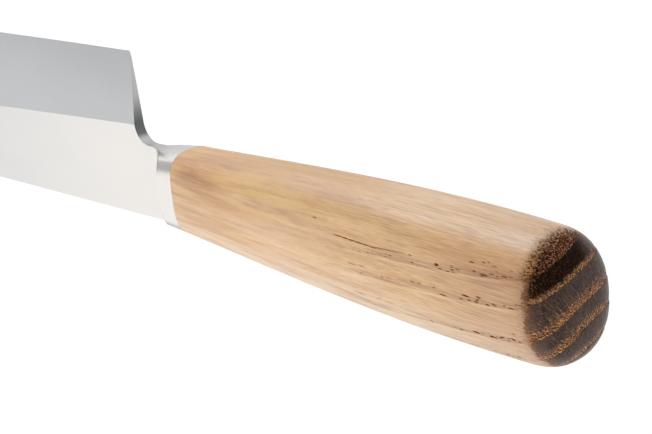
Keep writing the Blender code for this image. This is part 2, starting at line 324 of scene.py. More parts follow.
def vector(tree, x, y, z):
    node = tree.nodes.new("ShaderNodeCombineXYZ")
    for slot, value in zip(node.inputs, (x, y, z)):
        feed(tree, slot, value)
    return Wire(tree, node.outputs[0])


def stretched(place, x, y, z):
    """The place with each axis divided by the size of a pattern along it."""
    node = place.tree.nodes.new("ShaderNodeVectorMath")
    node.operation = "DIVIDE"
    feed(place.tree, node.inputs[0], place)
    node.inputs[1].default_value = (x, y, z)
    return Wire(place.tree, node.outputs[0])


def noise(place, detail):
    node = place.tree.nodes.new("ShaderNodeTexNoise")
    feed(place.tree, node.inputs["Vector"], place)
    node.inputs["Scale"].default_value = 1.0
    node.inputs["Detail"].default_value = detail
    return Wire(place.tree, node.outputs[0])


def cells(place):
    """Distance to the nearest of many scattered points, and a random value for each of them."""
    node = place.tree.nodes.new("ShaderNodeTexVoronoi")
    feed(place.tree, node.inputs["Vector"], place)
    node.inputs["Scale"].default_value = 1.0
    chance = Wire(place.tree, node.outputs["Color"]).parts()[0]
    return Wire(place.tree, node.outputs["Distance"]), chance


def blend(share, first, second):
    """A mix of two colours, each a wire or a plain colour. The node's colour inputs are 6 and 7, its
    colour output is 2."""
    node = share.tree.nodes.new("ShaderNodeMix")
    node.data_type = "RGBA"
    feed(share.tree, node.inputs["Factor"], share)
    feed(share.tree, node.inputs[6], first)
    feed(share.tree, node.inputs[7], second)
    return Wire(share.tree, node.outputs[2])


def end_centre(points, end_x, tolerance=0.2 * MM):
    """The middle of a straight bar's end."""
    near = [point for point in points if abs(point.x - end_x) < tolerance]
    lows = Vector([min(point[i] for point in near) for i in range(3)])
    highs = Vector([max(point[i] for point in near) for i in range(3)])
    return (lows + highs) / 2


def knife_place():
    """Where the knife's own axes lie in the frame: the tang is a bar along the handle's axis."""
    points = [vert.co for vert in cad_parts["tang"].data.vertices]
    back = end_centre(points, min(point.x for point in points))
    front = end_centre(points, max(point.x for point in points))
    along = (front - back).normalized()
    across = Vector((0, 1, 0))
    up = along.cross(across)
    origin = front - along * (BOLSTER_REFERENCE + TANG_IN_BOLSTER)
    place = Matrix((along, across, up)).transposed().to_4x4()
    place.translation = origin
    return place


KNIFE = knife_place()


def new_material(name):
    material = bpy.data.materials.new(name)
    material.use_nodes = True
    tree = material.node_tree
    return material, tree, tree.nodes["Principled BSDF"]


def knife_millimetres(tree):
    """The place on the knife in millimetres along its own axes, from the object's coordinates."""
    turn = KNIFE.inverted()
    coordinates = tree.nodes.new("ShaderNodeTexCoord")
    mapping = tree.nodes.new("ShaderNodeMapping")
    mapping.inputs["Scale"].default_value = (1 / MM, 1 / MM, 1 / MM)
    mapping.inputs["Rotation"].default_value = turn.to_euler()
    mapping.inputs["Location"].default_value = turn.translation / MM
    tree.links.new(coordinates.outputs["Object"], mapping.inputs["Vector"])
    return Wire(tree, mapping.outputs["Vector"])


def bump(tree, shader, height, distance, strength):
    node = tree.nodes.new("ShaderNodeBump")
    node.inputs["Distance"].default_value = distance
    node.inputs["Strength"].default_value = strength
    feed(tree, node.inputs["Height"], height)
    tree.links.new(node.outputs["Normal"], shader.inputs["Normal"])


def growth(place):
    """The growth rings: the porous wood, 1 at the start of each ring and fading outwards in fine
    rays, the narrow rows of large pores in it, the pale line at each start, the rays and the
    radius."""
    x, y, z = place.parts()
    waver = noise(stretched(place, 38, 9, 9), detail=1.0) - 0.5
    from_pith = (y - PITH[0], z - PITH[1])
    radius = (from_pith[0] ** 2 + from_pith[1] ** 2) ** 0.5 + x * RING_DRIFT + waver * 0.9
    around = from_pith[1].math("ARCTAN2", from_pith[0]) * 30
    rays = noise(vector(place.tree, x / 3.0, around / 0.30, radius / 1.6), detail=1.0)
    porous, rows, pale = 0.0, 0.0, 0.0
    for start, width in RINGS:
        fading = radius + (0.5 - rays) * (width * 1.5)
        begins = radius.steps(start - 0.06, start + 0.10)
        porous = begins * fading.steps(start + width, start + width * 0.3) + porous
        rows = begins * radius.steps(start + 1.1, start + 0.6) + rows
        border = radius.steps(start - 0.55, start - 0.15) * radius.steps(start + 0.10, start - 0.10)
        pale = border + pale
    return porous, rows, pale, rays, radius


def open_vessels(place, rows):
    """The long open pores in their rows, cut lengthwise on the sides, more towards the butt."""
    distance, chance = cells(stretched(place, 1.6, 0.33, 0.33))
    clumps = noise(stretched(place, 7, 2.4, 2.4), detail=1.0)
    x, y, _ = place.parts()
    placed = rows * x.steps(66, 26) * y.steps(-9.5, -8.0)
    return distance.steps(0.44, 0.22) * chance.steps(0.45, 0.50) * clumps.steps(0.44, 0.52) * placed


def squared(value, squareness):
    """A cosine or sine drawn out towards the corners of a superellipse."""
    return math.copysign(abs(value) ** (2 / squareness), value)


def skin_point(along, turn):
    """A point of the handle's skin in millimetres, for placing the marks."""
    share = along * MM / HANDLE_LENGTH
    high = through_four(share, [HANDLE_SIZES[f"{spot} Height"] for spot in SPOTS]) / MM / 2
    wide = through_four(share, [HANDLE_SIZES[f"{spot} Width"] for spot in SPOTS]) / MM / 2
    butt, front = HANDLE_SIZES["Butt Squareness"], HANDLE_SIZES["Front Squareness"]
    squareness = butt + (front - butt) * share
    cosine, sine = math.cos(math.radians(turn)), math.sin(math.radians(turn))
    return (along, high * squared(cosine, squareness), wide * abs(squared(sine, squareness)))


def streaked(place, marks):
    """Soft long marks at their places on the handle's skin: 1 in their middles, 0 around them."""
    total = None
    for along, turn, half_length, half_width, strength in marks:
        node = place.tree.nodes.new("ShaderNodeVectorMath")
        node.operation = "DISTANCE"
        reach = (half_length, half_width, half_width)
        feed(place.tree, node.inputs[0], stretched(place, *reach))
        node.inputs[1].default_value = [a / b for a, b in zip(skin_point(along, turn), reach)]
        mark = Wire(place.tree, node.outputs["Value"]).steps(1.0, 0.3) * strength
        total = mark if total is None else total.math("MAXIMUM", mark)
    return total


def layered(colour, *layers):
    """A colour with others laid over it in turn, each given by its share and its display colour."""
    for share, code in layers:
        colour = blend(share, colour, tone(code))
    return colour


def wandering(place, amount, *scale):
    """The place shifted a little across the grain, so that a mark's outline isn't even."""
    shift = noise(stretched(place, *scale), detail=2.0) - 0.5
    x, y, z = place.parts()
    return vector(place.tree, x, y + shift * amount, z - shift * amount)


def wood():
    """Oiled chestnut: tan and brown streaks along the grain, open pores and a scorched butt."""
    material, tree, shader = new_material("scorched_chestnut")
    place = knife_millimetres(tree)
    x, y, z = place.parts()
    porous, rows, pale, rays, radius = growth(place)
    vessels = open_vessels(place, rows)
    checks = streaked(wandering(place, *CHECKS_WANDER), CHECKS)

    broad = noise(stretched(place, 55, 4.5, 4.5), detail=2.0)
    patches = noise(stretched(place, 30, 2.0, 2.0), detail=2.0)
    streaks = noise(stretched(place, 24, 0.8, 0.8), detail=3.0)
    threads = noise(stretched(place, 16, 0.24, 0.24), detail=2.0)
    fibres = noise(stretched(place, 8, 0.14, 0.14), detail=2.0)
    strands = noise(stretched(place, 5.0, 0.12, 0.12), detail=1.0)
    soft = wandering(place, 3.0, 16, 2.2, 2.2)
    to_butt = x.steps(105, 12)
    off_butt = x.steps(10, 30)
    browning = x.steps(40, 6) * (y.steps(-9.5, -6.0) * 0.24 + 0.22)
    # A whitish painted highlight on the edge side near the butt
    painted_highlight = y.steps(-10.0, -11.8) * y.steps(-12.9, -12.4) * x.steps(24, 10)
    colour = layered(
        blend(broad.steps(0.34, 0.66), tone(0xCCA47A), tone(0xC29450)),
        # Paler and greyer towards the spine, a painted sheen, and golden below the middle
        (y.steps(2.0, 10.5) * 0.8, 0xC3B098),
        (y.steps(-1.5, -5.0) * y.steps(-11.5, -9.5) * 0.55, 0xDCAF75),
        # Paler along the edge side, most near the butt: a painted highlight
        (y.steps(-9.0, -12.3) * (x.steps(70, 30) * 0.45 + 0.20), 0xCDB89F),
        # Straw and brown streaks, soft patches, and the grain's threads, fainter near the bolster
        (streaked(soft, STRAW_STREAKS), 0xD6B272),
        (streaks.steps(0.45, 0.80) * 0.62, 0x9E6E3E),
        (streaks.steps(0.42, 0.25) * 0.42, 0xDEBC8A),
        (patches.steps(0.52, 0.68) * off_butt * 0.32, 0xA06A3A),
        (patches.steps(0.46, 0.32) * off_butt * 0.32, 0xE0C08E),
        (streaked(soft, DARK_STREAKS) * streaks.steps(0.1, 0.6), 0x8E552E),
        (fibres.steps(0.5, 0.80) * (to_butt * 0.35 + 0.25), 0x85582D),
        (threads.steps(0.54, 0.72) * x.steps(85, 20) * 0.60, 0x80552B),
        (threads.steps(0.44, 0.30) * to_butt * 0.40, 0xE0C294),
        (strands.steps(0.54, 0.70) * to_butt * 0.50, 0x74491F),
        (strands.steps(0.44, 0.30) * to_butt * 0.35, 0xE4CBA2),
        # Darker below the middle and on the edge side towards the bolster, painted shade
        (y.steps(3.0, -3.0) * 0.16, 0x895A2A),
        (y.steps(-8.0, -11.0) * x.steps(30, 65) * 0.22, 0x895A2A),
        # Browner in the porous wood and near the butt
        (porous * (x.steps(60, 15) * 0.14 + 0.08), 0xA87B48),
        (browning, 0x966030),
        # The whitish painted highlight near the butt
        (painted_highlight * 0.17, 0xCFC8C0),
        # The rings' pale borders, their rows of pores, the open vessels and the checks
        (pale * x.steps(80, 30) * streaks.steps(0.7, 0.4) * 0.30, 0xDCC297),
        (rows * x.steps(75, 40) * threads.steps(0.35, 0.55) * 0.45, 0x80532B),
        (vessels * 0.85, 0x522A10),
        (checks * threads.steps(0.20, 0.35), 0x5C2808),
    )

    # How far in from the butt each place counts for the fire: uneven, and nearer in the outer ring
    flecks = noise(stretched(place, 0.9, 0.30, 0.30), detail=3.0)
    specks = noise(stretched(place, 0.45, 0.26, 0.26), detail=1.0)
    outer_ring = radius.steps(33.9, 34.5)
    reach = x + (flecks - 0.5) * 1.6 + (specks - 0.5) * 1.4 + (broad - 0.5) * 2.0
    reach = reach + y.steps(-4.0, 2.0) * 0.3 + y.steps(7.5, 10.0) * 0.6 - outer_ring * 0.55
    scorched = reach.steps(SCORCH_END + 0.2, SCORCH_END - 0.9)
    toasted = reach.steps(SCORCH_END + 1.3, SCORCH_END + 0.2)
    sooty = scorched * radius.steps(30.9, 32.0) * z.steps(-5.0, -0.5)
    pores, chance = cells(stretched(place, 1.0, 0.27, 0.27))
    pores = pores.steps(0.62, 0.30) * chance.steps(0.0, 0.2)
    burnt_pores = pores * reach.steps(SCORCH_END + 1.8, SCORCH_END + 0.2)

    # Char on the dense wood, soot on one ring of it, embers' brown on the porous wood
    char = layered(
        blend(flecks.steps(0.35, 0.7), tone(0x261B18), tone(0x4A3830)),
        (rays.steps(0.42, 0.75) * specks.steps(0.38, 0.62) * 0.75, 0x7A543C),
        (reach.steps(SCORCH_END - 2.6, SCORCH_END - 0.6) * 0.5, 0x5A3E2D),
    )
    worn = specks.steps(0.46, 0.66) * (x.steps(2.0, 5.0) * 0.7 + 0.3)
    soot = blend(worn, tone(0x0B0502), tone(0x5A3820))
    char = blend(sooty * 0.94, char, soot)
    ember = blend(flecks.steps(0.3, 0.7), tone(0x6A452C), tone(0xBE8858))
    darker_ember = blend(specks.steps(0.42, 0.64), tone(0x381E12), tone(0x8E6344))
    ember = blend(outer_ring, ember, darker_ember)
    ember = layered(ember, (z.steps(-1.0, -8.0) * 0.45, 0x3E281A))
    colour = layered(colour, (reach.steps(SCORCH_END + 3.0, SCORCH_END - 0.2) * 0.45, 0x85552D))
    dense_wood = blend(scorched, layered(colour, (toasted * 0.92, 0x633D22)), char)
    porous_wood = blend(reach.steps(SCORCH_END + 0.2, SCORCH_END - 1.4), colour, ember)
    porous_wood = layered(porous_wood, (burnt_pores * 0.9, 0x1E0F06))
    colour = blend(porous, dense_wood, porous_wood)
    tree.links.new(colour.socket, shader.inputs["Base Color"])

    sheen = 0.40 + fibres * 0.08 - scorched * 0.10 + sooty * 0.20
    tree.links.new(sheen.socket, shader.inputs["Roughness"])
    opened = vessels.math("MAXIMUM", checks)
    gloss = 0.85 - toasted * 0.66 - sooty * 0.16
    gloss = gloss * opened.steps(0.5, 0.0) * (1 - burnt_pores * porous * 0.8)
    tree.links.new(gloss.socket, shader.inputs["Specular IOR Level"])
    height = fibres * 0.25 - vessels - pores * porous * scorched * 0.8
    bump(tree, shader, height, distance=HANDLE_SIZES["Pit Depth"], strength=0.8)
    return material


def satin_steel(name, colour, roughness, second_colour, second_roughness, fade, shift_back=None):
    """Ground steel with faint lines along the blade. Along an axis of the knife, from one place in
    millimetres to another, it takes a second colour and roughness, and may turn back again further
    on. On the heel wall the darker second colour is painted shade."""
    material, tree, shader = new_material(name)
    place = knife_millimetres(tree)
    lines = noise(stretched(place, 40, 0.10, 0.10), detail=2.0)
    clouds = noise(stretched(place, 30, 9, 9), detail=3.0)
    axis, low, high = fade
    shifted = place.parts()[axis].steps(low, high)
    if shift_back:
        shifted = shifted * place.parts()[axis].steps(*reversed(shift_back))
    share = shifted * 0.85 + (clouds - 0.35) * 0.4
    shader.inputs["Metallic"].default_value = 1.0
    shader.inputs["Specular Tint"].default_value = (0.82, 0.82, 0.83, 1.0)
    shade = blend(share, tone(colour), tone(second_colour))
    tree.links.new(shade.socket, shader.inputs["Base Color"])
    rough = roughness + shifted * (second_roughness - roughness) + lines * 0.04 + clouds * 0.04
    tree.links.new(rough.socket, shader.inputs["Roughness"])
    bump(tree, shader, lines, distance=0.00002, strength=0.08)
    return material


def plain_finish(name, colour, roughness, metallic):
    """A hidden piece's finish: one colour, a little uneven."""
    material, tree, shader = new_material(name)
    place = knife_millimetres(tree)
    uneven = noise(stretched(place, 9, 3, 3), detail=3.0)
    shader.inputs["Metallic"].default_value = metallic
    shade = blend(uneven, tone(colour), tone(colour & 0xF0F0F0))
    tree.links.new(shade.socket, shader.inputs["Base Color"])
    rough = roughness + uneven * 0.1
    tree.links.new(rough.socket, shader.inputs["Roughness"])
    return material


def finish_mesh(name, mesh, finishes=(), sharp_degrees=25):
    """The finished mesh as an object in the frame: near points merged, faces out and hard edges
    marked.
    """
    bm = bmesh.new()
    bm.from_mesh(mesh)
    bmesh.ops.remove_doubles(bm, verts=bm.verts, dist=MERGE_WITHIN)
    bmesh.ops.recalc_face_normals(bm, faces=bm.faces)
    for face in bm.faces:
        face.smooth = True
    for edge in bm.edges:
        same_finish = len({face.material_index for face in edge.link_faces}) == 1
        edge.smooth = same_finish and edge.calc_face_angle(0) < math.radians(sharp_degrees)
    bm.to_mesh(mesh)
    bm.free()
    mesh.name = name
    mesh.transform(KNIFE)
    for finish in finishes:
        mesh.materials.append(finish)
    piece = bpy.data.objects.new(name, mesh)
    bpy.context.scene.collection.objects.link(piece)
    return piece


def grown(name, build, sizes, material):
    """Runs a Geometry Nodes tree with named sizes and keeps its result as a plain mesh."""
    tree = bpy.data.node_groups.new(name, "GeometryNodeTree")
    tree.interface.new_socket("Geometry", in_out="OUTPUT", socket_type="NodeSocketGeometry")
    sockets = {
        key: tree.interface.new_socket(key, in_out="INPUT", socket_type="NodeSocketFloat")
        for key in sizes
    }
    finish = tree.interface.new_socket("Material", in_out="INPUT", socket_type="NodeSocketMaterial")
    entry = tree.nodes.new("NodeGroupInput")
    wires = {key: Wire(tree, entry.outputs[key]) for key in sizes}
    geometry = build(tree, wires)
    real = tree.nodes.new("GeometryNodeRealizeInstances")
    paint = tree.nodes.new("GeometryNodeSetMaterial")
    leave = tree.nodes.new("NodeGroupOutput")
    tree.links.new(geometry, real.inputs["Geometry"])
    tree.links.new(real.outputs["Geometry"], paint.inputs["Geometry"])
    tree.links.new(entry.outputs["Material"], paint.inputs["Material"])
    tree.links.new(paint.outputs["Geometry"], leave.inputs["Geometry"])
    host = bpy.data.objects.new(name + "_host", bpy.data.meshes.new(name + "_host"))
    bpy.context.scene.collection.objects.link(host)
    modifier = host.modifiers.new(name, "NODES")
    modifier.node_group = tree
    for key, socket in sockets.items():
        modifier[socket.identifier] = sizes[key]
    modifier[finish.identifier] = material
    graph = bpy.context.evaluated_depsgraph_get()
    mesh = bpy.data.meshes.new_from_object(host.evaluated_get(graph))
    host.modifiers.clear()
    bpy.data.objects.remove(host, do_unlink=True)
    return finish_mesh(name, mesh)


def sheet_of_rings(tree, rows, columns, section):
    """A grid whose rows become rings: section gives the place for a share along and a turn."""
    grid = tree.nodes.new("GeometryNodeMeshGrid")
    layout = {"Size X": 1.0, "Size Y": 1.0, "Vertices X": rows, "Vertices Y": columns}
    for key, value in layout.items():
        grid.inputs[key].default_value = value
    position = Wire(tree, tree.nodes.new("GeometryNodeInputPosition").outputs[0])
    along, around, _ = position.parts()
    bend = tree.nodes.new("GeometryNodeSetPosition")
    tree.links.new(grid.outputs["Mesh"], bend.inputs["Geometry"])
    place = section(along + 0.5, (around + 0.5) * -math.tau)
    feed(tree, bend.inputs["Position"], vector(tree, *place))
    return bend.outputs["Geometry"]


def rounded(turn, half_height, half_width, squareness):
    """A point on a superellipse at a turn around the handle's axis."""
    cosine = turn.math("COSINE")
    sine = turn.math("SINE")
    power = squareness ** -1 * 2
    y = cosine.math("SIGN") * cosine.math("ABSOLUTE") ** power * half_height
    z = sine.math("SIGN") * sine.math("ABSOLUTE") ** power * half_width
    return y, z


def through_four(share, values):
    """The cubic through four values at shares 0, 1/3, 2/3 and 1."""
    total = None
    for i, value in enumerate(values):
        term = value
        for j in range(4):
            if j != i:
                term = term * ((share * 3 - j) * (1 / (i - j)))
        total = term if total is None else total + term
    return total


def turned_handle(tree, size):
    """The handle's skin from butt to front, its front face and the blind bore for the tang."""
    end = size["Length"] + size["Seam"]

    def half_sizes(x):
        share = x / size["Length"]
        high = through_four(share, [size[f"{spot} Height"] for spot in SPOTS])
        wide = through_four(share, [size[f"{spot} Width"] for spot in SPOTS])
        squarer = size["Front Squareness"] - size["Butt Squareness"]
        square = size["Butt Squareness"] + squarer * share
        return high * 0.5, wide * 0.5, square

    def skin(along, turn):
        dome = (along * (1 / DOME_SHARE)).math("MINIMUM", 1.0) * (math.pi / 2)
        power = size["Dome Squareness"] ** -1 * 2
        drawn_in = dome.math("SINE") ** power
        in_dome = size["Dome Length"] * (1 - dome.math("COSINE").math("MAXIMUM", 0.0) ** power)
        past = ((along - DOME_SHARE) * (1 / (1 - DOME_SHARE))).math("MAXIMUM", 0.0)
        x = in_dome + (end - size["Dome Length"]) * past
        x = x.math("MAXIMUM", size["Butt Ease"])
        high, wide, square = half_sizes(x)
        return x, *rounded(turn, high * drawn_in, wide * drawn_in, square)

    def bore_ring(turn, narrow=0.5):
        high, wide = size["Bore Height"] * narrow, size["Bore Width"] * narrow
        return rounded(turn, high, wide, size["Bore Squareness"])

    def front(along, turn):
        outer = rounded(turn, *half_sizes(end))
        return (end, *(a + (b - a) * along for a, b in zip(outer, bore_ring(turn))))

    def bore(along, turn):
        return (end - size["Bore Depth"] * along, *bore_ring(turn))

    def bore_end(along, turn):
        return (end - size["Bore Depth"], *bore_ring(turn, (1 - along) * 0.5))

    join = tree.nodes.new("GeometryNodeJoinGeometry")
    for rows, section in ((HANDLE_ROWS, skin), (3, front), (8, bore), (2, bore_end)):
        tree.links.new(sheet_of_rings(tree, rows, HANDLE_COLUMNS + 1, section), join.inputs[0])
    merge = tree.nodes.new("GeometryNodeMergeByDistance")
    merge.inputs["Distance"].default_value = MERGE_IN_HANDLE
    tree.links.new(join.outputs[0], merge.inputs["Geometry"])
    return sunken_pits(tree, merge.outputs["Geometry"], size["Pit Depth"])


def sunken_pits(tree, geometry, depth):
    """Sinks the open pores, the checks and the brushed rings of the butt into the handle's skin."""
    position = Wire(tree, tree.nodes.new("GeometryNodeInputPosition").outputs[0])
    place = stretched(position, MM, MM, MM)
    x = place.parts()[0]
    porous, rows = growth(place)[:2]
    checks = streaked(wandering(place, *CHECKS_WANDER), CHECKS)
    pits = open_vessels(place, rows).math("MAXIMUM", checks)
    pits = pits * x.steps(PITS_END + 0.5, PITS_END - 0.5) * depth
    brushed = porous * x.steps(SCORCH_END + 0.5, SCORCH_END - 1.0) * (BRUSHED_DEPTH * MM)
    normal = tree.nodes.new("GeometryNodeInputNormal")
    offset = tree.nodes.new("ShaderNodeVectorMath")
    offset.operation = "SCALE"
    tree.links.new(normal.outputs[0], offset.inputs[0])
    feed(tree, offset.inputs["Scale"], (pits + brushed) * -1)
    sink = tree.nodes.new("GeometryNodeSetPosition")
    tree.links.new(geometry, sink.inputs["Geometry"])
    tree.links.new(offset.outputs[0], sink.inputs["Offset"])
    return sink.outputs["Geometry"]


def loft(rings, first_pole, last_pole):
    """A skin over rings of equal count, each end closed by a fan around its pole."""
    bm = bmesh.new()
    rows = [[bm.verts.new(point) for point in ring] for ring in rings]
    for row, following in zip(rows, rows[1:]):
        for i in range(len(row)):
            j = (i + 1) % len(row)
            bm.faces.new((row[i], row[j], following[j], following[i]))
    for pole, row in ((first_pole, rows[0]), (last_pole, rows[-1])):
        centre = bm.verts.new(pole)
        for i in range(len(row)):
            bm.faces.new((centre, row[i], row[(i + 1) % len(row)]))
    mesh = bpy.data.meshes.new("loft")
    bm.to_mesh(mesh)
    bm.free()
    return mesh


def spine_y(x):
    """The spine's line: straight, then easing towards the edge before the tip."""
    past = max((x - HEEL_X) / BLADE_LENGTH - DROP_START, 0) / (1 - DROP_START)
    return SPINE_TO_AXIS + SPINE_SLOPE * (x - HANDLE_LENGTH) - SPINE_DROP * past ** 2


def blade_depth(x):
    """The distance from spine to edge, which runs out at the tip."""
    u = min(max((x - HEEL_X) / BLADE_LENGTH, 0), 1)
    belly = max(1 - u ** BELLY_SHARPNESS, 0) ** (1 / BELLY_ROUNDNESS)
    return BLADE_HEIGHT * (1 - HEIGHT_LOSS * u * u) * belly


def edge_y(x):
    return spine_y(x) - blade_depth(x)


def ridge_y(x):
    """The ridge line where the flat face turns into the bevel."""
    u = min(max((x - HEEL_X) / BLADE_LENGTH, 0), 1)
    share = BEVEL_SHARE_HEEL + (BEVEL_SHARE_TIP - BEVEL_SHARE_HEEL) * u
    return edge_y(x) + share * blade_depth(x)


def face_z(x):
    """The flat face comes down steadily from the neck to the tip."""
    return FACE_Z - (BLADE_THICKNESS - TIP_THICKNESS) * (x - NECK_START) / (TIP_X - NECK_START)


def upper_z(x, y):
    """The height of the bevelled side: the flat face, and the bevel down to the edge."""
    ridge, edge = ridge_y(x), edge_y(x)
    if y >= ridge or ridge - edge < 1e-7:
        return face_z(x)
    share = min((ridge - y) / (ridge - edge), 1)
    return face_z(x) + (BACK_Z + EDGE_THICKNESS - face_z(x)) * share


def scoop_z(x):
    """The height of the round scoop that brings the bolster's side down to the blade's face."""
    centre_z = FACE_Z + SCOOP_RADIUS
    rise = centre_z - RIM_WIDTH / 2
    centre_x = BOLSTER_REFERENCE + RIM_FROM_WOOD + math.sqrt(SCOOP_RADIUS ** 2 - rise ** 2)
    back = max(centre_x - x, 0)
    return centre_z - math.sqrt(max(SCOOP_RADIUS ** 2 - back ** 2, 0)), centre_x


def softer_minimum(a, b, ease):
    """The lesser of two heights, with the crease between them eased."""
    if abs(a - b) >= ease:
        return min(a, b)
    return min(a, b) - (ease - abs(a - b)) ** 2 / (4 * ease)


def bolster_section(x):
    """A ring of the bolster's skin, from its eased rim down into the scoop on each side."""
    share = min((x - BOLSTER_REFERENCE) / BOLSTER_LENGTH, 1)
    to_rim = (x - BOLSTER_REFERENCE) / RIM_FROM_WOOD
    low = -FRONT_HEIGHT / 2 + (FRONT_HEIGHT / 2 - NECK_TO_AXIS) * share - LIP
    high = FRONT_HEIGHT / 2 + (spine_y(x) - FRONT_HEIGHT / 2) * share + LIP
    half_width = (FRONT_WIDTH + (RIM_WIDTH - FRONT_WIDTH) * to_rim) / 2
    ring = []
    for i in range(BOLSTER_COLUMNS):
        turn = math.tau * (i + 0.5) / BOLSTER_COLUMNS
        cosine, sine = math.cos(turn), math.sin(turn)
        y = (low + high) / 2 + (high - low) / 2 * squared(cosine, FRONT_SQUARENESS)
        z = half_width * abs(squared(sine, FRONT_SQUARENESS))
        z = softer_minimum(z, scoop_z(x)[0] + LIP, RIM_EASE)
        ring.append(Vector((x, y, math.copysign(max(z, 0), sine))))
    return ring


def squarish_ring(x, half_height, half_width, centre_y=0.0):
    """A ring with nearly square corners, for the holes and the neck."""
    ring = []
    for i in range(BOLSTER_COLUMNS):
        turn = math.tau * (i + 0.5) / BOLSTER_COLUMNS
        cosine, sine = math.cos(turn), math.sin(turn)
        y = centre_y + half_height * squared(cosine, HOLE_SQUARENESS)
        z = half_width * squared(sine, HOLE_SQUARENESS)
        ring.append(Vector((x, y, z)))
    return ring


def make_bolster(steel):
    """The collar: its tang hole, its rounded skin with a scoop on each side, and its mortise."""
    length = scoop_z(NECK_START)[1] - BOLSTER_START
    places = [BOLSTER_START + length * i / BOLSTER_ROWS for i in range(BOLSTER_ROWS + 1)]
    rings = [squarish_ring(TANG_HOLE_END, *TANG_HOLE), squarish_ring(BOLSTER_START, *TANG_HOLE)]
    rings += [bolster_section(x) for x in places]
    neck_middle = (spine_y(NECK_START) - NECK_TO_AXIS) / 2
    neck_half = (spine_y(NECK_START) + NECK_TO_AXIS) / 2
    rings.append(squarish_ring(NECK_START, neck_half, FACE_Z, neck_middle))
    rings.append(squarish_ring(NECK_START, *MORTISE))
    rings.append(squarish_ring(MORTISE_END, *MORTISE))
    mesh = loft(rings, Vector((TANG_HOLE_END, 0, 0)), Vector((MORTISE_END, 0, 0)))
    return finish_mesh("bolster_collar", mesh, [steel], sharp_degrees=35)


def arc(centre, radius, start, end):
    points = []
    for i in range(ARC_STEPS + 1):
        turn = start + (end - start) * i / ARC_STEPS
        points.append((centre[0] + radius * math.cos(turn), centre[1] + radius * math.sin(turn)))
    return points


def heel_outline():
    """From the neck, round the fillet and up the leaning heel to its eased corner at the edge, with
    a point where it crosses the ridge line, and that point's number."""
    lean = math.atan(HEEL_LEAN)
    foot_x = HEEL_X - HEEL_LEAN * (-NECK_TO_AXIS - edge_y(HEEL_X))
    centre_x = foot_x - HEEL_FILLET / math.cos(lean) + HEEL_LEAN * HEEL_FILLET
    fillet = arc((centre_x, -NECK_TO_AXIS - HEEL_FILLET), HEEL_FILLET, math.pi / 2, -lean)
    corner_middle = (HEEL_X + HEEL_CORNER, edge_y(HEEL_X) + HEEL_CORNER)
    corner = arc(corner_middle, HEEL_CORNER, math.pi - lean, 1.5 * math.pi + math.atan(SPINE_SLOPE))
    outline = [(NECK_START, -NECK_TO_AXIS)] + fillet + corner
    for i, (upper, lower) in enumerate(zip(outline, outline[1:])):
        if lower[1] < ridge_y(lower[0]) <= upper[1]:
            share = (upper[1] - ridge_y(lower[0])) / (upper[1] - lower[1])
            crossing = tuple(Vector(upper).lerp(Vector(lower), share))
            return outline[:i + 1] + [crossing] + outline[i + 1:], i + 1


def blade_places(first):
    """Places along the blade, closer together towards the tip."""
    span = TIP_X - first
    turns = [math.pi / 2 * i / BLADE_COLUMNS for i in range(BLADE_COLUMNS + 1)]
    return [first + span * math.sin(turn) for turn in turns]


def hollow_height(x, share):
    """How far the ground hollow rises into the back, at a share across it from edge to spine."""
    along = (x - HOLLOW_START) / (HOLLOW_END - HOLLOW_START)
    if not 0 < along < 1:
        return 0.0
    return HOLLOW_DEPTH * math.sin(math.pi * along) ** 0.5 * (1 - (2 * share - 1) ** 2)


